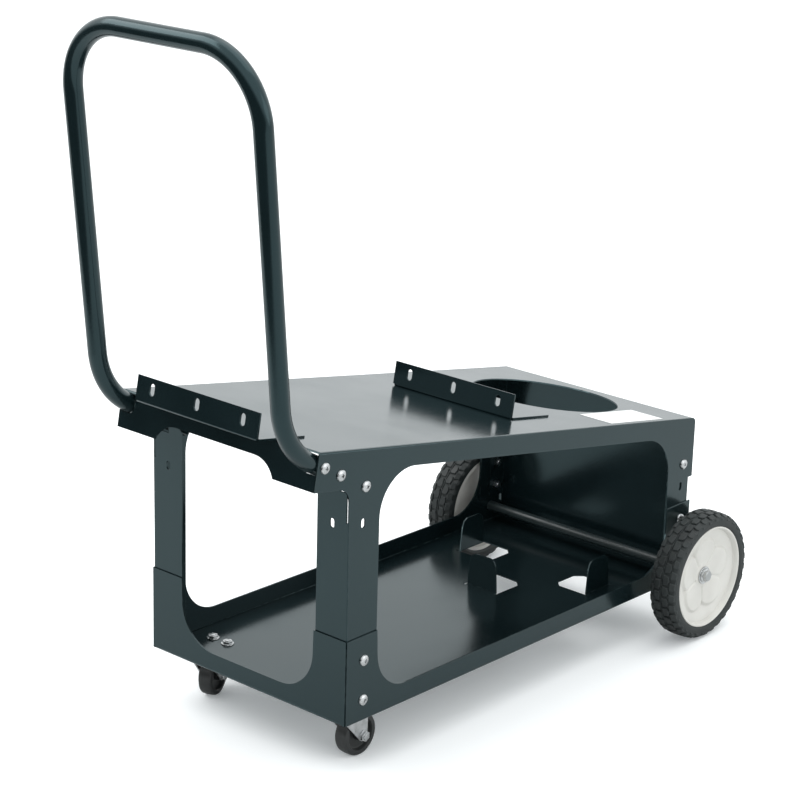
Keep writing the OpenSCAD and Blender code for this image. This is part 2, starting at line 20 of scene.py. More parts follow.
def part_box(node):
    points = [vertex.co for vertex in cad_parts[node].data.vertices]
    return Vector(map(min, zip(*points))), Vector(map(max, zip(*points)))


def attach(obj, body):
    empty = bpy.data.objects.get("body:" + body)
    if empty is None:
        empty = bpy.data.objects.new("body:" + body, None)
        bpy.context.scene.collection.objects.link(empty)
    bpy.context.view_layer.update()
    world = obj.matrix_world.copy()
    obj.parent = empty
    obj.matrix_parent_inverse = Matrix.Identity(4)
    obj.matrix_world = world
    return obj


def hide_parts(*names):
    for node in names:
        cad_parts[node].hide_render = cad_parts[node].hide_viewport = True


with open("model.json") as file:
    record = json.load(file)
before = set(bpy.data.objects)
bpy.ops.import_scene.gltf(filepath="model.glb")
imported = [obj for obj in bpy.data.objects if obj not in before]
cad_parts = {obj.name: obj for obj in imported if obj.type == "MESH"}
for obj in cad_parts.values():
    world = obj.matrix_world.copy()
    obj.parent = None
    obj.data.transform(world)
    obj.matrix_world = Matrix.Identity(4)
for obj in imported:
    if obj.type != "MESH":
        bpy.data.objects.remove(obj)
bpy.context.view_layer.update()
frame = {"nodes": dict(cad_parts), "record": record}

LOG = logging.getLogger("welder_cart")
Rgb = tuple[float, float, float]
Spec = tuple[str, float]

X_AXIS = Vector((1, 0, 0))
Y_AXIS = Vector((0, 1, 0))
Z_AXIS = Vector((0, 0, 1))
SHELF_SLOPE = math.radians(10.1)
TRAY_FALL = math.radians(0.72)
SHELF_UP = Vector((0, math.sin(SHELF_SLOPE), math.cos(SHELF_SLOPE)))
SHELF_DOWN_SLOPE = Vector((0, math.cos(SHELF_SLOPE), -math.sin(SHELF_SLOPE)))
TRAY_UP = Vector((0, math.sin(TRAY_FALL), math.cos(TRAY_FALL)))


class Side(Enum):
    """A side of the cart, with the sign of its X."""

    LEFT = -1
    RIGHT = 1

    @property
    def word(self) -> str:
        """The side's name as the bodies and nodes spell it."""
        return self.name.lower()


class Slot(Enum):
    """The record's material slots."""

    POWDER = "powder_coat"
    HANDLE = "handle_coat"
    AXLE = "axle_coat"
    LABEL = "label"
    TYRE = "tyre"
    HUB = "hub"
    CASTER = "caster_tread"
    PLATE = "zinc_plate"
    HARDWARE = "zinc_hardware"


# ---- mesh tools ------------------------------------------------------------------------


def joint_place(name: str) -> Vector:
    """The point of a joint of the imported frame."""
    joint = next(j for j in frame["record"]["behaviour"]["joints"] if j["name"] == name)
    return Vector(joint["pos_m"])


def joint_axis(name: str) -> Vector:
    """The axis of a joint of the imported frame."""
    joint = next(j for j in frame["record"]["behaviour"]["joints"] if j["name"] == name)
    return Vector(joint["axis"]).normalized()


def activate(piece: bpy.types.Object) -> None:
    """Deselect everything, then select one object and make it active.

    Args:
        piece: The object that the next operators act on.
    """
    bpy.ops.object.select_all(action="DESELECT")
    piece.select_set(True)
    bpy.context.view_layer.objects.active = piece


@contextmanager
def editing(piece: bpy.types.Object, mode: str = "FACE") -> Iterator[None]:
    """Hold a piece in edit mode with nothing selected.

    Args:
        piece: The object to edit.
        mode: VERT, EDGE or FACE select mode.
    """
    activate(piece)
    bpy.ops.object.mode_set(mode="EDIT")
    bpy.ops.mesh.select_mode(type=mode)
    bpy.ops.mesh.select_all(action="DESELECT")
    yield
    bpy.ops.object.mode_set(mode="OBJECT")


def pick(piece: bpy.types.Object, kind: str, test: Callable) -> int:
    """Select parts of the piece being edited, by their place or direction.

    Args:
        piece: The object in edit mode.
        kind: verts, edges or faces.
        test: Says whether one part is wanted.

    Returns:
        How many parts were selected.
    """
    mesh = bmesh.from_edit_mesh(piece.data)
    mesh.normal_update()
    wanted = [part for part in getattr(mesh, kind) if test(part)]
    for part in wanted:
        part.select_set(True)
    bmesh.update_edit_mesh(piece.data)
    return len(wanted)


def apply_modifier(piece: bpy.types.Object, kind: str, **settings: object) -> None:
    """Add a modifier, set it and apply it at once.

    Args:
        piece: The object to change.
        kind: Blender's name of the modifier type.
        **settings: Properties of the modifier.
    """
    activate(piece)
    modifier = piece.modifiers.new(kind.lower(), kind)
    for key, value in settings.items():
        setattr(modifier, key, value)
    bpy.ops.object.modifier_apply(modifier=modifier.name)


def smooth(piece: bpy.types.Object, degrees: float = 32, weighted: bool = True) -> None:
    """Shade a piece smooth up to an angle, with large flat faces keeping their own normals.

    Args:
        piece: The object to shade.
        degrees: Edges sharper than this stay sharp.
        weighted: Whether normals are weighted by face area.
    """
    activate(piece)
    bpy.ops.object.shade_smooth_by_angle(angle=math.radians(degrees))
    if weighted:
        apply_modifier(piece, "WEIGHTED_NORMAL", keep_sharp=True, weight=80)


def recalculate(piece: bpy.types.Object, merge: float = 1e-6) -> None:
    """Merge doubles and turn every face outwards.

    Args:
        piece: The object to clean.
        merge: Distance under which points are one.
    """
    with editing(piece, "VERT"):
        bpy.ops.mesh.select_all(action="SELECT")
        bpy.ops.mesh.remove_doubles(threshold=merge)
        bpy.ops.mesh.normals_make_consistent(inside=False)


def frame_to(origin: Vector, z_dir: Vector, x_hint: Vector = Y_AXIS) -> Matrix:
    """The matrix that stands a piece modelled on +Z at a place and direction.

    Args:
        origin: Where the piece's origin goes.
        z_dir: Where its +Z points.
        x_hint: Roughly where its +X points.

    Returns:
        A rigid matrix.
    """
    z = z_dir.normalized()
    x = (x_hint - z * x_hint.dot(z)).normalized()
    y = z.cross(x)
    return Matrix.Translation(origin) @ Matrix((x, y, z)).transposed().to_4x4()


def turned(name: str, outline: Sequence[tuple[float, float]], around: int) -> bpy.types.Object:
    """Turn an outline about +Z, ring by ring, by extruding and scaling a circle.

    Args:
        name: Name of the new object.
        outline: (radius, height) of each ring. A first or last radius of 0 closes the end, and
            an outline that returns to its first ring is a hollow part.
        around: Points round the circle.

    Returns:
        The new object, at the origin.
    """
    hollow = outline[0] == outline[-1]
    centred = outline[0][0] == 0
    rings = list(outline[1:] if centred else outline)
    radius, height = rings[0]
    bpy.ops.object.select_all(action="DESELECT")
    bpy.ops.mesh.primitive_circle_add(
        vertices=around, radius=radius, location=(0, 0, height), fill_type="NGON" if centred else "NOTHING"
    )
    piece = bpy.context.object
    piece.name = name
    bpy.ops.object.transform_apply(location=True)
    with editing(piece, "EDGE"):
        pick(piece, "edges", lambda e: True)
        for new_radius, new_height in rings[1:]:
            if new_radius == 0:
                bpy.ops.mesh.edge_face_add()
                break
            bpy.ops.mesh.extrude_edges_move(TRANSFORM_OT_translate={"value": (0, 0, new_height - height)})
            scale = new_radius / radius
            bpy.ops.transform.resize(value=(scale, scale, 1), center_override=(0, 0, new_height))
            radius, height = new_radius, new_height
    if not hollow and not centred and outline[-1][0] != 0:
        LOG.warning("%s is open", name)
    recalculate(piece)
    return piece


def copies(name: str, template: bpy.types.Object, places: Sequence[Matrix]) -> bpy.types.Object:
    """Copy a template to several places, each with its own mesh, and join the copies.

    Args:
        name: Name of the joined piece.
        template: The object that is modelled once. It is removed.
        places: Where each copy goes.

    Returns:
        The joined piece.
    """
    made = []
    for place in places:
        copy = bpy.data.objects.new(name, template.data.copy())
        bpy.context.scene.collection.objects.link(copy)
        copy.data.transform(place)
        if place.determinant() < 0:
            copy.data.flip_normals()
        made.append(copy)
    bpy.data.objects.remove(template)
    return joined(name, made)


def joined(name: str, parts: Sequence[bpy.types.Object]) -> bpy.types.Object:
    """Join objects into one piece.

    Args:
        name: Name of the piece.
        parts: The objects to join.

    Returns:
        The joined piece.
    """
    activate(parts[0])
    for part in parts[1:]:
        part.select_set(True)
    if len(parts) > 1:
        bpy.ops.object.join()
    parts[0].name = name
    return parts[0]


def moved(piece: bpy.types.Object, place: Matrix) -> bpy.types.Object:
    """Put a piece's mesh in its place, with the object left at the origin."""
    piece.data.transform(place)
    if place.determinant() < 0:
        piece.data.flip_normals()
    return piece


def merged_copy(node: str, name: str) -> bpy.types.Object:
    """Copy a CAD node's mesh and join its loose triangles into clean faces.

    Args:
        node: The CAD node.
        name: Name of the new piece.

    Returns:
        The new piece, in the node's place.
    """
    piece = bpy.data.objects.new(name, frame["nodes"][node].data.copy())
    bpy.context.scene.collection.objects.link(piece)
    piece.data.materials.clear()
    with editing(piece, "VERT"):
        bpy.ops.mesh.select_all(action="SELECT")
        bpy.ops.mesh.remove_doubles(threshold=5e-6)
        bpy.ops.mesh.dissolve_limited(angle_limit=math.radians(0.4))
    return piece


def hand_over(piece: bpy.types.Object, body: str, slot: Slot, finish: bpy.types.Material, *nodes: str) -> None:
    """Dress a finished piece, let it ride on its body and stand it in for its CAD nodes.

    Args:
        piece: The finished piece.
        body: The body that it moves with.
        slot: The record's slot that its finish belongs to. Not used.
        finish: Its material.
        *nodes: The CAD nodes that it replaces.
    """
    piece.data.materials.clear()
    piece.data.materials.append(finish)
    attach(piece, body)
    if nodes:
        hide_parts(*nodes)
    LOG.info("%s rides on %s, %d faces", piece.name, body, len(piece.data.polygons))


# ---- node groups -------------------------------------------------------------------------


class Graph:
    """A node tree with short calls for adding and linking nodes."""

    def __init__(self, tree: bpy.types.NodeTree) -> None:
        """Keep the tree that nodes are added to."""
        self.tree = tree

    def add(self, kind: str, inputs: Optional[dict] = None, **settings: object) -> bpy.types.Node:
        """Add a node.

        Args:
            kind: The node's type without the ShaderNode prefix.
            inputs: Values or output sockets for its inputs, by name or number.
            **settings: Properties of the node.

        Returns:
            The new node.
        """
        node = self.tree.nodes.new("ShaderNode" + kind)
        for key, value in settings.items():
            setattr(node, key, value)
        for key, value in (inputs or {}).items():
            if isinstance(value, bpy.types.NodeSocket):
                self.tree.links.new(value, node.inputs[key])
            else:
                node.inputs[key].default_value = value
        return node

    def ramp(self, value: bpy.types.NodeSocket, low: float, high: float) -> bpy.types.NodeSocket:
        """Stretch a value so that low becomes 0 and high becomes 1, clamped.

        Args:
            value: The socket to stretch.
            low: The value that gives 0.
            high: The value that gives 1.

        Returns:
            The stretched value's socket.
        """
        return self.add("MapRange", {0: value, 1: low, 2: high}).outputs[0]

    def mix(self, factor: Union[float, bpy.types.NodeSocket], a: object, b: object) -> bpy.types.NodeSocket:
        """Mix two colours.

        Args:
            factor: How much of b there is.
            a: First colour or socket.
            b: Second colour or socket.

        Returns:
            The mixed colour's socket.
        """
        node = self.add("Mix", {0: factor}, data_type="RGBA")
        for number, colour in ((6, a), (7, b)):
            if isinstance(colour, bpy.types.NodeSocket):
                self.tree.links.new(colour, node.inputs[number])
            else:
                node.inputs[number].default_value = (*colour, 1.0)
        return node.outputs[2]


GROUPS: dict[str, bpy.types.NodeTree] = {}


def new_group(name: str, inputs: Sequence[Spec], outputs: Sequence[tuple[str, str]]) -> tuple[Graph, dict, dict]:
    """Start a shader node group with named sockets.

    Args:
        name: Name of the group.
        inputs: (name, default) of each float input.
        outputs: (name, socket type) of each output.

    Returns:
        The graph, its input sockets by name, and its output node's inputs by name.
    """
    tree = bpy.data.node_groups.new(name, "ShaderNodeTree")
    for label, default in inputs:
        socket = tree.interface.new_socket(label, in_out="INPUT", socket_type="NodeSocketFloat")
        socket.default_value = default
    for label, kind in outputs:
        tree.interface.new_socket(label, in_out="OUTPUT", socket_type="NodeSocket" + kind)
    given = tree.nodes.new("NodeGroupInput")
    result = tree.nodes.new("NodeGroupOutput")
    GROUPS[name] = tree
    return Graph(tree), dict(given.outputs.items()), dict(result.inputs.items())


def build_groups() -> None:
    """Build the node groups that several finishes share."""
    graph, given, result = new_group(
        "orange_peel", [("Scale", 260.0), ("Strength", 0.1)], [("Normal", "Vector"), ("Mask", "Float")]
    )
    place = graph.add("TexCoord").outputs["Object"]
    waves = graph.add("TexNoise", {"Vector": place, "Scale": given["Scale"], "Detail": 1.0})
    bump = graph.add(
        "Bump", {"Height": waves.outputs[0], "Strength": given["Strength"], "Distance": 0.0006}
    )
    graph.tree.links.new(bump.outputs[0], result["Normal"])
    graph.tree.links.new(waves.outputs[0], result["Mask"])

    # Edge mask for worn paint, which also paints a highlight along the edges
    graph, given, result = new_group(
        "edge_wear", [("Radius", 0.0015), ("Amount", 0.5), ("Scale", 90.0)], [("Mask", "Float")]
    )
    place = graph.add("TexCoord").outputs["Object"]
    rounded = graph.add("Bevel", {"Radius": given["Radius"]}, samples=4)
    flat = graph.add("NewGeometry").outputs["Normal"]
    likeness = graph.add(
        "VectorMath", {0: rounded.outputs[0], 1: flat}, operation="DOT_PRODUCT"
    ).outputs["Value"]
    edge = graph.ramp(likeness, 0.995, 0.90)
    patches = graph.add("TexNoise", {"Vector": place, "Scale": given["Scale"], "Detail": 3.0}).outputs[0]
    patches = graph.ramp(patches, 0.40, 0.62)
    worn = graph.add("Math", {0: edge, 1: patches}, operation="MULTIPLY").outputs[0]
    worn = graph.add("Math", {0: worn, 1: given["Amount"]}, operation="MULTIPLY").outputs[0]
    graph.tree.links.new(worn, result["Mask"])

    graph, given, result = new_group("dust", [("Amount", 0.3), ("Scale", 12.0)], [("Mask", "Float")])
    place = graph.add("TexCoord").outputs["Object"]
    up = graph.add("SeparateXYZ", {0: graph.add("NewGeometry").outputs["Normal"]}).outputs["Z"]
    up = graph.ramp(up, 0.2, 1.0)
    cloud = graph.add("TexNoise", {"Vector": place, "Scale": given["Scale"], "Detail": 6.0}).outputs[0]
    specks = graph.add("TexNoise", {"Vector": place, "Scale": 900.0, "Detail": 2.0}).outputs[0]
    specks = graph.ramp(specks, 0.62, 0.72)
    cloud = graph.ramp(cloud, 0.42, 0.75)
    both = graph.add("Math", {0: cloud, 1: 0.45, 2: specks}, operation="MULTIPLY_ADD").outputs[0]
    both = graph.add("Math", {0: both, 1: up}, operation="MULTIPLY").outputs[0]
    both = graph.add("Math", {0: both, 1: given["Amount"]}, operation="MULTIPLY").outputs[0]
    graph.tree.links.new(both, result["Mask"])

    graph, given, result = new_group(
        "mottle", [("Scale", 20.0), ("Low", 0.2), ("High", 0.3)], [("Mask", "Float"), ("Roughness", "Float")]
    )
    place = graph.add("TexCoord").outputs["Object"]
    broad = graph.add("TexNoise", {"Vector": place, "Scale": given["Scale"], "Detail": 5.0}).outputs[0]
    mask = graph.ramp(broad, 0.3, 0.7)
    rough = graph.add("MapRange", {0: mask, 1: 0.0, 2: 1.0, 3: given["Low"], 4: given["High"]}).outputs[0]
    graph.tree.links.new(mask, result["Mask"])
    graph.tree.links.new(rough, result["Roughness"])


class Material(Graph):
    """A material with a Principled shader, ready for groups to be placed in."""

    def __init__(self, name: str, **sockets: object) -> None:
        """Start the material.

        Args:
            name: Its name.
            **sockets: Uniform values set on the shader, underscores standing for spaces.
        """
        self.material = bpy.data.materials.new(name)
        self.material.use_nodes = True
        super().__init__(self.material.node_tree)
        self.shader = self.tree.nodes["Principled BSDF"]
        for key, value in sockets.items():
            self.shader.inputs[key.replace("_", " ")].default_value = value

    def group(self, name: str, **inputs: float) -> bpy.types.Node:
        """Place a shared group.

        Args:
            name: The group's name.
            **inputs: Its values.

        Returns:
            The group's node.
        """
        node = self.tree.nodes.new("ShaderNodeGroup")
        node.node_tree = GROUPS[name]
        for key, value in inputs.items():
            node.inputs[key].default_value = value
        return node

    def feed(self, socket: str, source: bpy.types.NodeSocket) -> None:
        """Link a source to one of the shader's inputs."""
        self.tree.links.new(source, self.shader.inputs[socket])


@dataclass(frozen=True)
class PowderCoat:
    """Dark gloss powder coat with orange peel, faint dust and brighter edges, which are partly worn paint and
    partly a painted highlight.
    """

    name: str
    base: Rgb = (0.0045, 0.0095, 0.0108)
    sheen: Rgb = (0.60, 0.90, 0.96)
    # Colour of the brighter edges: worn paint, partly a painted highlight
    worn: Rgb = (0.08, 0.10, 0.10)
    dusty: Rgb = (0.050, 0.066, 0.069)
    rough_low: float = 0.13
    rough_high: float = 0.20
    peel: float = 0.09
    dust: float = 0.10
    # How strongly the edges are lightened, for worn paint and painted highlight alike
    wear: float = 0.45

    def make(self) -> bpy.types.Material:
        """Build the material."""
        made = Material(self.name, IOR=1.54, Specular_Tint=(*self.sheen, 1.0))
        mottle = made.group("mottle", Scale=9.0, Low=self.rough_low, High=self.rough_high)
        dust = made.group("dust", Amount=self.dust, Scale=7.0).outputs["Mask"]
        # Lighter edges: worn paint, partly a painted highlight along the edges
        wear = made.group("edge_wear", Radius=0.0012, Amount=self.wear, Scale=70.0).outputs["Mask"]
        deep = tuple(c * 1.25 for c in self.base)
        colour = made.mix(mottle.outputs["Mask"], self.base, deep)
        colour = made.mix(dust, colour, self.dusty)
        made.feed("Base Color", made.mix(wear, colour, self.worn))
        made.feed("Roughness", mottle.outputs["Roughness"])
        made.feed("Normal", made.group("orange_peel", Scale=330.0, Strength=self.peel).outputs["Normal"])
        return made.material


@dataclass(frozen=True)
class CoatedRod:
    """A rod with satin dark coat along its middle and bare bright ends."""

    name: str
    coat: Rgb = (0.018, 0.026, 0.027)
    bare: Rgb = (0.42, 0.43, 0.43)
    bare_from: float = 0.205

    def make(self) -> bpy.types.Material:
        """Build the material."""
        made = Material(self.name, IOR=1.5)
        mottle = made.group("mottle", Scale=40.0, Low=0.28, High=0.40)
        place = made.add("SeparateXYZ", {0: made.add("TexCoord").outputs["Object"]}).outputs["X"]
        reach = made.add("Math", {0: place}, operation="ABSOLUTE").outputs[0]
        ends = made.ramp(reach, self.bare_from - 0.001, self.bare_from + 0.001)
        deep = tuple(c * 1.3 for c in self.coat)
        coat = made.mix(mottle.outputs["Mask"], self.coat, deep)
        made.feed("Base Color", made.mix(ends, coat, self.bare))
        made.feed("Metallic", ends)
        made.feed("Roughness", mottle.outputs["Roughness"])
        made.feed("Normal", made.group("orange_peel", Scale=900.0, Strength=0.08).outputs["Normal"])
        return made.material


@dataclass(frozen=True)
class Zinc:
    """Bright zinc plating with fine grain and slightly uneven passivation."""

    name: str
    light: Rgb = (0.66, 0.67, 0.68)
    dark: Rgb = (0.44, 0.45, 0.45)
    rough_low: float = 0.18
    rough_high: float = 0.34
    grain: float = 0.12

    def make(self) -> bpy.types.Material:
        """Build the material."""
        made = Material(self.name, Metallic=1.0)
        mottle = made.group("mottle", Scale=110.0, Low=self.rough_low, High=self.rough_high)
        made.feed("Base Color", made.mix(mottle.outputs["Mask"], self.dark, self.light))
        made.feed("Roughness", mottle.outputs["Roughness"])
        made.feed("Normal", made.group("orange_peel", Scale=1400.0, Strength=self.grain).outputs["Normal"])
        return made.material


@dataclass(frozen=True)
class Rubber:
    """Moulded black rubber, matt, with a greyish bloom and fine surface grain."""

    name: str
    base: Rgb = (0.0085, 0.0120, 0.0120)
    bloom: Rgb = (0.022, 0.028, 0.028)
    rough_low: float = 0.52
    rough_high: float = 0.72
    dust: float = 0.14

    def make(self) -> bpy.types.Material:
        """Build the material."""
        made = Material(self.name, IOR=1.5)
        mottle = made.group("mottle", Scale=38.0, Low=self.rough_low, High=self.rough_high)
        # Lighter edges on the rubber: wear, partly a painted highlight
        wear = made.group("edge_wear", Radius=0.0016, Amount=0.6, Scale=160.0).outputs["Mask"]
        dust = made.group("dust", Amount=self.dust, Scale=30.0).outputs["Mask"]
        colour = made.mix(mottle.outputs["Mask"], self.base, self.bloom)
        colour = made.mix(wear, colour, tuple(c * 1.7 for c in self.bloom))
        made.feed("Base Color", made.mix(dust, colour, (0.16, 0.16, 0.155)))
        made.feed("Roughness", mottle.outputs["Roughness"])
        made.feed("Normal", made.group("orange_peel", Scale=900.0, Strength=0.22).outputs["Normal"])
        return made.material


@dataclass(frozen=True)
class MouldedPlastic:
    """Moulded plastic with a soft skin, light flow marks and a little grime."""

    name: str
    base: Rgb
    shade: Rgb
    rough_low: float = 0.28
    rough_high: float = 0.42
    grime: Rgb = (0.36, 0.35, 0.32)
    grime_amount: float = 0.12

    def make(self) -> bpy.types.Material:
        """Build the material."""
        made = Material(self.name, IOR=1.5)
        mottle = made.group("mottle", Scale=26.0, Low=self.rough_low, High=self.rough_high)
        dust = made.group("dust", Amount=self.grime_amount, Scale=24.0).outputs["Mask"]
        colour = made.mix(mottle.outputs["Mask"], self.shade, self.base)
        made.feed("Base Color", made.mix(dust, colour, self.grime))
        made.feed("Roughness", mottle.outputs["Roughness"])
        made.feed("Normal", made.group("orange_peel", Scale=620.0, Strength=0.06).outputs["Normal"])
        return made.material


@dataclass(frozen=True)
class Finishes:
    """One material for each slot of the record."""

    powder: bpy.types.Material
    handle: bpy.types.Material
    axle: bpy.types.Material
    label: bpy.types.Material
    tyre: bpy.types.Material
    hub: bpy.types.Material
    caster: bpy.types.Material
    plate: bpy.types.Material
    hardware: bpy.types.Material

    @classmethod
    def make(cls) -> "Finishes":
        """Build every material."""
        build_groups()
        return cls(
            powder=PowderCoat("powder_coat").make(),
            # The handle's edges get less wear and less painted highlight
            handle=PowderCoat("handle_coat", peel=0.07, dust=0.04, wear=0.1).make(),
            axle=CoatedRod("axle_coat").make(),
            label=MouldedPlastic("label", (0.80, 0.81, 0.80), (0.72, 0.73, 0.72), grime_amount=0.05).make(),
            tyre=Rubber("tyre").make(),
            hub=MouldedPlastic("hub", (0.66, 0.648, 0.612), (0.60, 0.586, 0.55)).make(),
            caster=MouldedPlastic(
                "caster_tread", (0.014, 0.016, 0.016), (0.022, 0.024, 0.024), grime=(0.09, 0.09, 0.085)
            ).make(),
            plate=Zinc("zinc_plate", rough_low=0.26, rough_high=0.42).make(),
            hardware=Zinc("zinc_hardware").make(),
        )


# ---- folded sheets ---------------------------------------------------------------------------


@dataclass(frozen=True)
class Fold:
    """A folded edge of a sheet, told by the outward directions of the faces that meet there."""

    first: Vector
    second: Vector
    radius: float = 0.0028
    shortest: float = 0.03
    segments: int = 5
    where: Callable[[Vector], bool] = lambda middle: True

    def holds(self, edge: bmesh.types.BMEdge) -> bool:
        """Whether an edge is this fold."""
        if len(edge.link_faces) != 2 or edge.calc_length() < self.shortest:
            return False
        a, b = (face.normal for face in edge.link_faces)
        close = math.cos(math.radians(4))
        straight = a.dot(self.first) > close and b.dot(self.second) > close
        crossed = a.dot(self.second) > close and b.dot(self.first) > close
        middle = (edge.verts[0].co + edge.verts[1].co) / 2
        return (straight or crossed) and self.where(middle)


@dataclass
class FoldedSheet:
    """A folded sheet made from its CAD node, with rounded folds and eased cut edges.

    Its hollow upright faces are split first, because a bent outline can be filled across its mouth.
    """

    node: str
    folds: Sequence[Fold]
    ease: float = 0.00035
    sharp_degrees: float = 50
    flat_area: float = 0.0018
    same_way: float = math.cos(math.radians(0.8))

    def build(self) -> bpy.types.Object:
        """Model the sheet.

        Returns:
            The finished piece.
        """
        piece = merged_copy(self.node, self.node + "_sheet")
        with editing(piece):
            pick(piece, "faces", lambda face: abs(face.normal.y) > 0.97 and len(face.verts) < 60)
            bpy.ops.mesh.vert_connect_concave()
        for fold in self.folds:
            with editing(piece, "EDGE"):
                if pick(piece, "edges", fold.holds):
                    bpy.ops.mesh.bevel(
                        offset=fold.radius, segments=fold.segments, affect="EDGES", clamp_overlap=False
                    )
        limit = math.radians(self.sharp_degrees)

        def is_cut(edge: bmesh.types.BMEdge) -> bool:
            """Whether an edge is a sharp one that is long enough to ease."""
            return len(edge.link_faces) == 2 and edge.calc_face_angle(0) > limit

        with editing(piece, "EDGE"):
            pick(piece, "edges", is_cut)
            bpy.ops.mesh.bevel(offset=self.ease, segments=2, affect="EDGES", clamp_overlap=True)
        smooth(piece, 35, weighted=False)
        faces = piece.data.polygons
        flat_ways = {tuple(round(n, 4) for n in face.normal) for face in faces if face.area > self.flat_area}
        for face in faces:
            if any(face.normal.dot(Vector(way)) > self.same_way for way in flat_ways):
                face.use_smooth = False
        return piece


@dataclass
class SheetMetal:
    """Every folded sheet of the cart."""

    shelf_radius: float = 0.0030
    tray_radius: float = 0.0030
    stop_radius: float = 0.0026
    inner_radius: float = 0.0010

    def sheets(self) -> list[FoldedSheet]:
        """Describe the folds of each sheet.

        Returns:
            One description for each sheet node.
        """
        nose = -SHELF_DOWN_SLOPE
        shelf_folds = [Fold(SHELF_UP, nose, self.shelf_radius)]
        tray_folds = [
            Fold(-TRAY_UP, -Y_AXIS, self.tray_radius),
            Fold(-TRAY_UP, Y_AXIS, self.tray_radius),
            Fold(TRAY_UP, Y_AXIS, self.inner_radius, segments=3),
        ]
        for side in Side:
            out = X_AXIS * side.value
            shelf_folds.append(Fold(SHELF_UP, out, self.shelf_radius))
            shelf_folds.append(Fold(-Y_AXIS, out, 0.0022, where=lambda p: abs(p.x) > 0.1865))
            tray_folds.append(Fold(-TRAY_UP, out, self.tray_radius))
            tray_folds.append(Fold(TRAY_UP, -out, self.inner_radius, segments=3))
        stop_folds = [
            Fold(-SHELF_UP, nose, self.stop_radius),
            Fold(SHELF_UP, SHELF_DOWN_SLOPE, self.inner_radius, segments=3),
        ]
        panel_folds = [Fold(Y_AXIS, X_AXIS * side.value, self.shelf_radius) for side in Side]
        return [
            FoldedSheet("upper_shelf", shelf_folds),
            FoldedSheet("rear_panel", panel_folds),
            FoldedSheet("lower_tray", tray_folds),
            FoldedSheet("front_stop_bracket", stop_folds),
            FoldedSheet("rear_stop_bracket", stop_folds),
        ]

    def build(self, finishes: Finishes) -> None:
        """Build and dress the sheets and the label."""
        for sheet in self.sheets():
            hand_over(sheet.build(), "frame", Slot.POWDER, finishes.powder, sheet.node)
        label = FoldedSheet("shelf_label", [], ease=0.00012).build()
        hand_over(label, "frame", Slot.LABEL, finishes.label, "shelf_label")


# ---- handle ---------------------------------------------------------------------------------


@dataclass
class Handle:
    """The bent push handle: one tube with four bends."""

    tube_r: float = 0.013
    wall: float = 0.002
    half_spacing: float = 0.1718
    lean: float = math.radians(5.47)
    drop: float = math.radians(29.5)
    top_bend_r: float = 0.095
    low_bend_r: float = 0.110
    rise: float = 0.5127
    tail: float = 0.180
    around: int = 40
    bend_steps: int = 22

    def bend(self, piece: bpy.types.Object, centre: Vector, axis: Vector, angle: float) -> None:
        """Spin the selected ring round a bend.

        Args:
            piece: The tube being edited. Not used.
            centre: Centre of the bend.
            axis: Axis that it turns about, right-handed (the operator counts the other way).
            angle: How far it turns.
        """
        bpy.ops.mesh.spin(steps=self.bend_steps, angle=-angle, center=centre, axis=axis)

    def build(self, finishes: Finishes) -> None:
        """Model half the tube from the middle of its grip, mirror it and give it its wall."""
        low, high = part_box("handle_tube")
        top = Vector((0, low[1] + self.tube_r, high[2] - self.tube_r))
        down = Vector((0, math.sin(self.lean), -math.cos(self.lean)))
        tail_way = Vector((0, math.cos(self.drop), -math.sin(self.drop)))
        low_turn = math.pi / 2 - self.lean - self.drop
        cut = self.low_bend_r * math.tan(low_turn / 2)
        grip = self.half_spacing - self.top_bend_r
        upright = self.rise - self.top_bend_r - cut
        bpy.ops.object.select_all(action="DESELECT")
        bpy.ops.mesh.primitive_circle_add(vertices=self.around, radius=self.tube_r, fill_type="NOTHING")
        piece = bpy.context.object
        piece.name = "push_handle"
        piece.data.transform(frame_to(top, X_AXIS))
        piece.matrix_world = Matrix.Identity(4)
        corner = top + X_AXIS * grip
        side = X_AXIS * self.half_spacing
        foot = top + down * (self.top_bend_r + upright) + side
        inwards = (tail_way - down * tail_way.dot(down)).normalized()
        with editing(piece, "VERT"):
            bpy.ops.mesh.select_all(action="SELECT")
            bpy.ops.mesh.extrude_region_move(TRANSFORM_OT_translate={"value": X_AXIS * grip})
            self.bend(piece, corner + down * self.top_bend_r, X_AXIS.cross(down), math.pi / 2)
            bpy.ops.mesh.extrude_region_move(TRANSFORM_OT_translate={"value": down * upright})
            self.bend(piece, foot + inwards * self.low_bend_r, down.cross(tail_way), low_turn)
            bpy.ops.mesh.extrude_region_move(
                TRANSFORM_OT_translate={"value": tail_way * (self.tail - cut)}
            )
        apply_modifier(piece, "MIRROR", use_axis=(True, False, False), merge_threshold=1e-5)
        recalculate(piece)
        apply_modifier(piece, "SOLIDIFY", thickness=self.wall, offset=-1)
        smooth(piece, 40)
        hand_over(piece, "frame", Slot.HANDLE, finishes.handle, "handle_tube")


# ---- fasteners --------------------------------------------------------------------------------


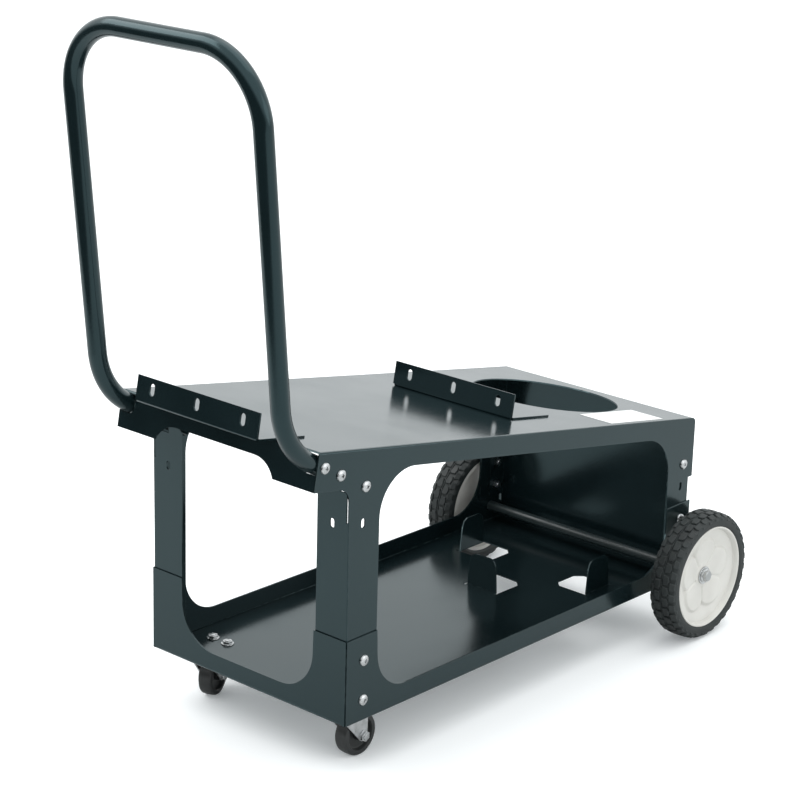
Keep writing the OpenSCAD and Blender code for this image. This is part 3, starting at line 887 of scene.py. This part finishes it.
@dataclass
class PanScrew:
    """A domed screw with a cross recess, standing on Z = 0 with its shank below."""

    head_r: float = 0.0080
    head_h: float = 0.0044
    shank_r: float = 0.0039
    recess_r: float = 0.0044
    recess_w: float = 0.0022
    around: int = 32
    dome_steps: int = 6

    def outline(self, length: float) -> list[tuple[float, float]]:
        """Outline of the shank and head, from the shank's tip up."""
        rim = 0.0007
        dome = []
        for i in range(1, self.dome_steps):
            angle = math.radians(14 + 76 * i / self.dome_steps)
            dome.append((self.head_r * math.cos(angle) + 0.0003, rim + (self.head_h - rim) * math.sin(angle)))
        start = [(0, -length), (self.shank_r * 0.8, -length), (self.shank_r, -length + 0.001),
                 (self.shank_r, 0), (self.head_r - 0.0005, 0), (self.head_r, 0.0003), (self.head_r, rim)]
        return start + dome + [(0.0010, self.head_h), (0, self.head_h)]

    def build(self, length: float) -> bpy.types.Object:
        """Model the screw.

        Args:
            length: Length of the shank.

        Returns:
            The screw, at the origin.
        """
        screw = turned("screw", self.outline(length), self.around)
        blades = []
        for turn in (0, math.pi / 2):
            bpy.ops.object.select_all(action="DESELECT")
            bpy.ops.mesh.primitive_cube_add(size=1)
            blade = bpy.context.object
            with editing(blade, "FACE"):
                pick(blade, "faces", lambda f: f.normal.z < -0.9)
                bpy.ops.transform.resize(value=(0.45, 0.7, 1), center_override=(0, 0, -0.5))
            size = Matrix.Diagonal((2 * self.recess_r, self.recess_w, 0.006, 1))
            place = Matrix.Translation((0, 0, self.head_h + 0.0004)) @ Matrix.Rotation(turn, 4, "Z") @ size
            blade.data.transform(place)
            blades.append(blade)
        for blade in blades:
            apply_modifier(screw, "BOOLEAN", object=blade, operation="DIFFERENCE", solver="EXACT")
            bpy.data.objects.remove(blade)
        smooth(screw, 35)
        return screw


@dataclass
class HexNut:
    """A hexagon nut with chamfered corners, standing on Z = 0."""

    across_corners: float = 0.015
    height: float = 0.0065
    bore_r: float = 0.0042
    flange_r: float = 0.0
    flange_h: float = 0.0013
    chamfer: float = 0.0007

    def build(self) -> bpy.types.Object:
        """Model the nut.

        Returns:
            The nut, at the origin.
        """
        bpy.ops.object.select_all(action="DESELECT")
        bpy.ops.mesh.primitive_cylinder_add(
            vertices=6, radius=self.across_corners / 2, depth=self.height, location=(0, 0, self.height / 2)
        )
        nut = bpy.context.object
        bpy.ops.object.transform_apply(location=True)
        with editing(nut, "FACE"):
            pick(nut, "faces", lambda f: abs(f.normal.z) > 0.9)
            bpy.ops.mesh.inset(thickness=self.across_corners / 2 * 0.12)
            bpy.ops.mesh.select_all(action="DESELECT")
            inner = self.across_corners / 2 * 0.93
            pick(nut, "faces", lambda f: abs(f.normal.z) > 0.9 and max(v.co.xy.length for v in f.verts) < inner)
            bpy.ops.mesh.extrude_region_shrink_fatten(TRANSFORM_OT_shrink_fatten={"value": 0.0003})
        bore = turned(
            "bore",
            [(0, -0.001), (self.bore_r, -0.001), (self.bore_r, self.height + 0.001), (0, self.height + 0.001)],
            28,
        )
        apply_modifier(nut, "BOOLEAN", object=bore, operation="DIFFERENCE", solver="EXACT")
        bpy.data.objects.remove(bore)
        apply_modifier(nut, "BEVEL", width=0.00025, segments=2, limit_method="ANGLE", angle_limit=0.6)
        smooth(nut, 35)
        if self.flange_r > 0:
            bore_r = self.bore_r
            outline = [
                (bore_r, 0), (self.flange_r - 0.0004, 0), (self.flange_r, 0.0004),
                (self.flange_r - 0.0003, self.flange_h), (bore_r, self.flange_h * 1.5), (bore_r, 0),
            ]
            flange = turned("flange", outline, 36)
            smooth(flange, 35)
            nut = joined("nut", [nut, flange])
        return nut


@dataclass
class Fasteners:
    """The screws and nuts that hold the frame together."""

    screw: PanScrew
    nut: HexNut

    def side_places(self, node: str) -> list[Vector]:
        """Find each fastener's centre in a CAD node by its separate solids.

        Args:
            node: The CAD node that holds the fasteners.

        Returns:
            One centre for each solid.
        """
        probe = merged_copy(node, "probe")
        mesh = bmesh.new()
        mesh.from_mesh(probe.data)
        bpy.data.objects.remove(probe)
        left = set(mesh.verts)
        centres = []
        while left:
            stack = [left.pop()]
            island = []
            while stack:
                vert = stack.pop()
                island.append(vert.co.copy())
                for edge in vert.link_edges:
                    other = edge.other_vert(vert)
                    if other in left:
                        left.remove(other)
                        stack.append(other)
            low = Vector(min(c[i] for c in island) for i in range(3))
            high = Vector(max(c[i] for c in island) for i in range(3))
            centres.append((low + high) / 2)
        mesh.free()
        return centres

    def on_side(self, centre: Vector, x: float, turn: float) -> Matrix:
        """Stand a fastener on a side wall.

        Args:
            centre: The fastener's centre.
            x: Distance of its seat from the middle plane.
            turn: Angle that it is turned to about its own axis.

        Returns:
            The matrix that places it.
        """
        sign = math.copysign(1, centre.x)
        seat = Vector((sign * x, centre.y, centre.z))
        return frame_to(seat, X_AXIS * sign) @ Matrix.Rotation(turn, 4, "Z")

    def build(self, finishes: Finishes) -> None:
        """Model and place the screws and nuts of the legs and handle."""
        frame_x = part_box("upper_shelf")[1][0]
        tray_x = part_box("lower_tray")[1][0]
        for node in ("handle_screws", "leg_screws"):
            places = []
            for i, centre in enumerate(sorted(self.side_places(node), key=lambda c: (c.x, c.y, c.z))):
                seat = frame_x
                if node == "leg_screws" and centre.z < 0.22:
                    seat = tray_x
                places.append(self.on_side(centre, seat, 0.4 + 1.9 * i))
            piece = copies(node + "_set", self.screw.build(0.0135), places)
            hand_over(piece, "frame", Slot.HARDWARE, finishes.hardware, node)
        centres = self.side_places("leg_nuts")
        places = []
        for i, centre in enumerate(centres):
            seat = abs(centre.x) - self.nut.height / 2
            places.append(self.on_side(centre, seat, 0.7 * i))
        piece = copies("leg_nuts_set", self.nut.build(), places)
        hand_over(piece, "frame", Slot.HARDWARE, finishes.hardware, "leg_nuts")


# ---- rear wheels ---------------------------------------------------------------------------


@dataclass
class TreadBlock:
    """One chunky block of the tread, in a flat frame: X round the tyre, Y across it, +Z out."""

    points: Sequence[tuple[float, float]]
    height: float = 0.0026
    taper: float = 0.0009

    def build(self) -> bpy.types.Object:
        """Model the block from its outline.

        Returns:
            The block, its foot a little below Z = 0.
        """
        bpy.ops.object.select_all(action="DESELECT")
        bpy.ops.mesh.primitive_circle_add(vertices=len(self.points), radius=0.01, fill_type="NGON")
        block = bpy.context.object
        for vert, (x, y) in zip(block.data.vertices, self.points):
            vert.co = (x, y, -0.0012)
        with editing(block, "FACE"):
            bpy.ops.mesh.select_all(action="SELECT")
            bpy.ops.mesh.extrude_region_move(TRANSFORM_OT_translate={"value": (0, 0, self.height)})
            bpy.ops.mesh.inset(thickness=self.taper)
            bpy.ops.transform.translate(value=(0, 0, self.taper * 1.1))
        recalculate(block)
        return block


@dataclass
class RearWheel:
    """A moulded wheel with a block-tread tyre on a dished pale hub."""

    side: Side
    tread_count: int = 34
    petals: int = 5
    rim_r: float = 0.081
    bore_r: float = 0.0080
    groove: float = 0.0028
    hub_around: int = 240

    def place(self) -> Matrix:
        """Frame at the wheel's centre with +Z pointing away from the cart."""
        centre = joint_place(self.side.word + "_wheel_spin")
        return frame_to(centre, X_AXIS * self.side.value, Z_AXIS)

    def carcass(self, radius: float, half: float) -> bpy.types.Object:
        """Model the tyre's body under its blocks."""
        base = radius - self.groove
        ridge = 0.0006
        outline = [
            (self.rim_r, -0.0205), (self.rim_r + 0.0035, -half), (0.0915, -half), (0.0955, -half + 0.0012),
            (base - 0.0022, -0.0185), (base - 0.0006, -0.0120), (base, -ridge * 2), (radius - 0.0012, -ridge),
            (radius - 0.0012, ridge), (base, ridge * 2), (base - 0.0006, 0.0120), (base - 0.0022, 0.0185),
            (0.0955, half - 0.0012), (0.0915, half - 0.0003), (0.0905, half), (self.rim_r + 0.0035, half),
            (self.rim_r + 0.0012, half - 0.0008), (self.rim_r, 0.0205), (self.rim_r, -0.0205),
        ]
        return turned("carcass", outline, 160)

    def tread(self, radius: float, half: float) -> list[bpy.types.Object]:
        """Model the two rows of blocks and the shoulder lugs."""
        base = radius - self.groove
        pitch = 2 * math.pi * radius / self.tread_count
        a = pitch * 0.42
        inner = [(-a, -0.0052), (-0.35 * a, -0.0062), (a, -0.0040), (0.8 * a, 0.0040), (0.1 * a, 0.0058),
                 (-0.9 * a, 0.0046)]
        lug = [(-0.85 * a, -0.0040), (0.75 * a, -0.0040), (0.85 * a, 0.0012), (0.6 * a, 0.0052),
               (-0.6 * a, 0.0052)]
        nib = [(-0.7 * a, -0.0026), (0.55 * a, -0.0026), (0.45 * a, 0.0026), (-0.5 * a, 0.0026)]
        parts = []
        step = 2 * math.pi / self.tread_count
        for sign in (-1, 1):
            for points, across, tilt, shift, out in (
                (inner, 0.0074, 0.04, 0.0, base - 0.0002),
                (lug, 0.0172, 0.52, 0.5, base - 0.0020),
                (nib, 0.0207, 0.95, 0.02, base - 0.0062),
            ):
                places = []
                for i in range(self.tread_count):
                    turn = Matrix.Rotation((i + shift + (0.5 if sign > 0 else 0)) * step, 4, "Z")
                    stand = frame_to(Vector((out, 0, sign * across)), X_AXIS, Y_AXIS)
                    lean = Matrix.Rotation(-tilt if sign > 0 else tilt, 4, "X")
                    places.append(turn @ stand @ lean @ Matrix.Diagonal((1, sign, 1, 1)))
                parts.append(copies("blocks", TreadBlock(points).build(), places))
        return parts

    def tyre(self) -> bpy.types.Object:
        """Model the whole tyre."""
        low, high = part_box(self.side.word + "_tyre")
        radius = (high[2] - low[2]) / 2
        half = (high[0] - low[0]) / 2
        tyre = joined(self.side.word + "_tread_tyre", [self.carcass(radius, half), *self.tread(radius, half)])
        smooth(tyre, 28, weighted=False)
        return moved(tyre, self.place())

    def face_height(self, radius: float, angle: float) -> float:
        """Height of the hub's outer face: a dish with raised petals between rounded pockets.

        Args:
            radius: Distance from the axle.
            angle: Angle from the first petal.

        Returns:
            The height along the axle.
        """
        step = 2 * math.pi / self.petals
        off = (angle + step / 2) % step - step / 2
        along, across = radius * math.cos(off), abs(radius * math.sin(off))
        dish = 0.0030 + 0.0130 * smooth_step((radius - 0.020) / 0.058) ** 1.2
        centre, end_r = 0.0330, 0.0270
        edge = across - end_r if along < centre else math.hypot(along - centre, across) - end_r
        petal = 1 - smooth_step((edge + 0.0020) / 0.0052)
        crown = 0.0016 * (1 - min(across / end_r, 1) ** 2)
        plateau = 0.0072 + crown + 0.0060 * smooth_step((radius - 0.018) / 0.05)
        pocket = dish - 0.0022
        crease = 0.0013 * (1 - smooth_step(abs(abs(off) - step / 2) * radius / 0.0036))
        return pocket + (plateau - pocket) * petal - crease * petal

    def hub(self) -> bpy.types.Object:
        """Model the hub: turned rings, whose outer face is then raised into petals."""
        rim = self.rim_r - 0.0001
        bore = self.bore_r
        back = [(bore, -0.0234), (0.0145, -0.0234), (0.0150, -0.0226), (0.0165, -0.0060), (0.0705, 0.0008),
                (0.0750, -0.0205), (rim, -0.0205), (rim, 0.0216), (rim - 0.0010, 0.0222), (0.0788, 0.0222),
                (0.0778, 0.0214), (0.0765, 0.0165)]
        face_rings = 38
        face_start, face_end = 0.0755, 0.0195
        face = [(face_start + (face_end - face_start) * i / face_rings, 0.010) for i in range(face_rings + 1)]
        boss = [(0.0180, 0.0096), (0.0172, 0.0100), (bore, 0.0100), (bore, -0.0234)]
        hub = turned(self.side.word + "_dished_hub", back + face + boss, self.hub_around)
        for vert in hub.data.vertices:
            radius = vert.co.xy.length
            if abs(vert.co.z - 0.010) < 1e-6 and face_end - 1e-5 < radius < face_start + 1e-5:
                vert.co.z = self.face_height(radius, math.atan2(vert.co.y, vert.co.x))
        recalculate(hub)
        smooth(hub, 42, weighted=False)
        return moved(hub, self.place())

    def build(self, finishes: Finishes) -> None:
        """Build and dress the tyre and hub."""
        body = self.side.word + "_wheel"
        hand_over(self.tyre(), body, Slot.TYRE, finishes.tyre, self.side.word + "_tyre")
        hand_over(self.hub(), body, Slot.HUB, finishes.hub, self.side.word + "_hub")


def smooth_step(t: float) -> float:
    """A clamped smooth step from 0 to 1."""
    t = min(max(t, 0.0), 1.0)
    return t * t * (3 - 2 * t)


@dataclass
class Axle:
    """The axle with the spacers, washers and nuts that hold the rear wheels."""

    radius: float = 0.00794

    def ring(self, name: str, bore: float, outer: float, height: float) -> bpy.types.Object:
        """Model a flat ring with eased edges, standing on Z = 0."""
        ease = 0.0003
        outline = [
            (bore, 0), (outer - ease, 0), (outer, ease), (outer, height - ease), (outer - ease, height),
            (bore, height), (bore, 0),
        ]
        made = turned(name, outline, 48)
        smooth(made, 35)
        return made

    def stand(self, centre: Vector, side: Side, x: float) -> Matrix:
        """The place at a distance from the middle plane on one side, facing outwards."""
        return frame_to(Vector((side.value * x, centre.y, centre.z)), X_AXIS * side.value, Z_AXIS)

    def span(self, node: str, side: Side) -> tuple[float, float]:
        """How far from the middle plane a node's part starts and ends on one side.

        Args:
            node: The CAD node, with one part on each side.
            side: The side of the cart.

        Returns:
            The near and the far distance.
        """
        reach = [side.value * v.co.x for v in frame["nodes"][node].data.vertices]
        own = [x for x in reach if x > 0]
        return min(own), max(own)

    def build(self, finishes: Finishes) -> None:
        """Build and dress the axle and what is on it."""
        centre = joint_place("right_wheel_spin")
        low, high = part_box("axle")
        end = high[0]
        outline = [
            (0, -end), (self.radius - 0.0008, -end), (self.radius, -end + 0.0008),
            (self.radius, end - 0.0008), (self.radius - 0.0008, end), (0, end),
        ]
        rod = turned("wheel_axle", outline, 48)
        smooth(rod, 35)
        moved(rod, frame_to(Vector((0, centre.y, centre.z)), X_AXIS, Z_AXIS))
        hand_over(rod, "frame", Slot.AXLE, finishes.axle, "axle")
        for node, outer in (("axle_spacers", 0.012), ("axle_washers", 0.014)):
            rings = []
            for side in Side:
                start, end = self.span(node, side)
                ring = self.ring(node, self.radius, outer, end - start)
                rings.append(moved(ring, self.stand(centre, side, start)))
            piece = joined(node + "_pair", rings)
            hand_over(piece, "frame", Slot.HARDWARE, finishes.hardware, node)
        nut = HexNut(across_corners=0.019, height=0.007, bore_r=self.radius, flange_r=0.011, flange_h=0.002)
        places = [self.stand(centre, side, self.span("axle_nuts", side)[0]) for side in Side]
        piece = copies("axle_nuts_pair", nut.build(), places)
        hand_over(piece, "frame", Slot.HARDWARE, finishes.hardware, "axle_nuts")


# ---- casters ---------------------------------------------------------------------------------


@dataclass
class Caster:
    """A swivel caster: plate, fork, bolt, nut and wheel."""

    side: Side
    wheel_r: float = 0.032
    half_width: float = 0.011

    def axle_frame(self) -> Matrix:
        """Frame at the wheel's centre with +Z along the wheel's axis."""
        name = self.side.word + "_caster_spin"
        return frame_to(joint_place(name), joint_axis(name), Z_AXIS)

    def wheel(self) -> bpy.types.Object:
        """Model the wheel: a crowned tread on a webbed disc with a raised boss."""
        w, r = self.half_width, self.wheel_r
        half = [
            (0.00506, w + 0.0018), (0.0088, w + 0.0018), (0.0092, w + 0.0014), (0.0098, 0.0052),
            (0.0195, 0.0048), (0.0215, 0.0056), (0.0232, w - 0.0012), (0.0241, w - 0.0002),
            (0.0284, w), (0.0304, w - 0.0010), (0.0315, w - 0.0028), (r - 0.0002, w - 0.0055), (r, 0.0018),
        ]
        outline = [(radius, -z) for radius, z in half] + list(reversed(half))
        outline.append(outline[0])
        wheel = turned(self.side.word + "_caster_roller", outline, 96)
        smooth(wheel, 40)
        return moved(wheel, self.axle_frame())

    def cad_piece(self, part: str, ease: float) -> bpy.types.Object:
        """Model a pressed or turned part from its CAD node, with eased edges."""
        node = f"{self.side.word}_{part}"
        return FoldedSheet(node, [], ease=ease, sharp_degrees=38, flat_area=0.0002).build()

    def build(self, finishes: Finishes) -> None:
        """Build and dress the caster's parts."""
        word = self.side.word
        swivel, roller = word + "_swivel", word + "_caster"
        hand_over(self.wheel(), roller, Slot.CASTER, finishes.caster, word + "_caster_wheel")
        hand_over(self.cad_piece("fork", 0.0004), swivel, Slot.PLATE, finishes.plate, word + "_fork")
        hand_over(self.cad_piece("caster_plate", 0.0004), "frame", Slot.PLATE, finishes.plate,
                  word + "_caster_plate")
        for part in ("caster_bolt", "caster_nut"):
            hand_over(self.cad_piece(part, 0.0003), swivel, Slot.HARDWARE, finishes.hardware,
                      f"{word}_{part}")


@dataclass
class CasterHardware:
    """The screws, nuts and rivets that hold both casters under the tray."""

    nut: HexNut

    def build(self, finishes: Finishes, fasteners: Fasteners) -> None:
        """Build and dress the hardware."""
        for node in ("caster_screws", "kingpins"):
            piece = FoldedSheet(node, [], ease=0.0003, sharp_degrees=38).build()
            hand_over(piece, "frame", Slot.HARDWARE, finishes.hardware, node)
        places = []
        for i, centre in enumerate(fasteners.side_places("caster_nuts")):
            seat = centre - TRAY_UP * self.nut.height / 2
            places.append(frame_to(seat, TRAY_UP, X_AXIS) @ Matrix.Rotation(0.6 * i, 4, "Z"))
        piece = copies("caster_nuts_set", self.nut.build(), places)
        hand_over(piece, "frame", Slot.HARDWARE, finishes.hardware, "caster_nuts")


# ---- studio -----------------------------------------------------------------------------------


@dataclass
class Studio:
    """The pale floor, the soft lights and the camera."""

    azimuth: float = math.radians(41.04)
    elevation: float = math.radians(18.09)
    roll: float = math.radians(1.58)
    stand: tuple[float, float, float] = (2.1414, -2.4958, 1.4992)
    lens: float = 106.87
    floor_size: float = 30.0
    floor_front: float = 1.7
    glow: float = 1.22
    mirrored_glow: float = 1.32
    gloom: float = 0.04
    floor_glow: float = 0.16

    def floor(self) -> None:
        """Lay the floor."""
        bpy.ops.object.select_all(action="DESELECT")
        bpy.ops.mesh.primitive_plane_add(size=self.floor_size)
        floor = bpy.context.object
        floor.name = "studio_floor"
        floor.data.transform(Matrix.Translation((0, self.floor_size / 2 - self.floor_front, 0)))
        pale = Material("floor_paint", Roughness=0.9, Emission_Color=(0.90, 0.97, 1.0, 1.0))
        pale.shader.inputs["Specular IOR Level"].default_value = 0.0
        cloud = pale.group("mottle", Scale=0.6).outputs["Mask"]
        seen = pale.add("LightPath").outputs["Is Camera Ray"]
        paint = pale.mix(cloud, (0.92, 0.92, 0.92), (0.94, 0.94, 0.94))
        pale.feed("Base Color", pale.mix(seen, (0.66, 0.67, 0.67), paint))
        lit = pale.add("Math", {0: seen, 1: self.floor_glow}, operation="MULTIPLY").outputs[0]
        pale.feed("Emission Strength", lit)
        floor.data.materials.append(pale.material)

    def camera(self) -> None:
        """Stand the camera."""
        a, e, r = self.azimuth, self.elevation, self.roll
        back = Vector((math.sin(a) * math.cos(e), -math.cos(a) * math.cos(e), math.sin(e)))
        right = Vector((math.cos(a), math.sin(a), 0))
        up = back.cross(right)
        x = right * math.cos(r) + up * math.sin(r)
        y = up * math.cos(r) - right * math.sin(r)
        camera = bpy.data.cameras.new("camera")
        camera.lens = self.lens
        camera.sensor_width = 36
        camera.clip_end = 100
        holder = bpy.data.objects.new("camera", camera)
        bpy.context.scene.collection.objects.link(holder)
        turn = Matrix((x, y, back)).transposed().to_4x4()
        holder.matrix_world = Matrix.Translation(self.stand) @ turn
        bpy.context.scene.camera = holder

    def light(self, name: str, place: Vector, aim: Vector, size: tuple[float, float], power: float) -> None:
        """Hang a soft rectangular light.

        Args:
            name: Its name.
            place: Where it hangs.
            aim: The point that it faces.
            size: Its width and height.
            power: Its power in watts.
        """
        lamp = bpy.data.lights.new(name, "AREA")
        lamp.shape = "RECTANGLE"
        lamp.size, lamp.size_y = size
        lamp.energy = power
        holder = bpy.data.objects.new(name, lamp)
        bpy.context.scene.collection.objects.link(holder)
        holder.matrix_world = frame_to(place, place - aim, X_AXIS)

    def world(self) -> None:
        """Surround the scene with white, but leave the front near the horizon dark in reflections."""
        world = bpy.data.worlds.new("studio")
        bpy.context.scene.world = world
        world.use_nodes = True
        graph = Graph(world.node_tree)
        backdrop = world.node_tree.nodes["Background"]
        way = graph.add("SeparateXYZ", {0: graph.add("TexCoord").outputs["Generated"]}).outputs
        lifted = graph.add("Math", {0: way["Z"], 1: 2.0, 2: way["Y"]}, operation="MULTIPLY_ADD").outputs[0]
        shade = graph.add("MapRange", {0: lifted, 1: -0.45, 2: 0.25, 3: self.gloom, 4: self.mirrored_glow})
        path = graph.add("LightPath")
        glossy = graph.add("Mix", {0: path.outputs["Is Diffuse Ray"], 2: shade.outputs[0], 3: self.glow})
        world.node_tree.links.new(glossy.outputs[0], backdrop.inputs["Strength"])
        backdrop.inputs["Color"].default_value = (0.96, 0.99, 1, 1)
        seen = graph.add("Background", {"Color": (1, 1, 1, 1), "Strength": 1.05})
        mixed = graph.add(
            "MixShader", {0: path.outputs["Is Camera Ray"], 1: backdrop.outputs[0], 2: seen.outputs[0]}
        )
        output = world.node_tree.nodes["World Output"]
        world.node_tree.links.new(mixed.outputs[0], output.inputs["Surface"])

    def build(self) -> None:
        """Build the whole studio."""
        bpy.context.scene.view_settings.view_transform = "Standard"
        self.floor()
        self.camera()
        self.world()
        middle = Vector((0, 0, 0.3))
        self.light("key", Vector((-2.0, -1.6, 3.2)), middle, (2.4, 2.4), 50)
        self.light("fill", Vector((3.2, 0.8, 1.6)), middle, (1.6, 2.2), 10)
        self.light("top", Vector((0.2, 0.6, 3.6)), middle, (3.0, 3.0), 30)


def main() -> None:
    """Build the cart's pieces in order, then the studio, and log each piece's face count."""
    logging.basicConfig(level=logging.INFO, format="%(name)s: %(message)s")
    finishes = Finishes.make()
    SheetMetal().build(finishes)
    Handle().build(finishes)
    fasteners = Fasteners(PanScrew(), HexNut())
    fasteners.build(finishes)
    Axle().build(finishes)
    for side in Side:
        RearWheel(side).build(finishes)
        Caster(side).build(finishes)
    CasterHardware(HexNut(height=0.0046, flange_r=0.0096)).build(finishes, fasteners)
    Studio().build()
    LOG.info("built")


if __name__ == "__main__":
    main()
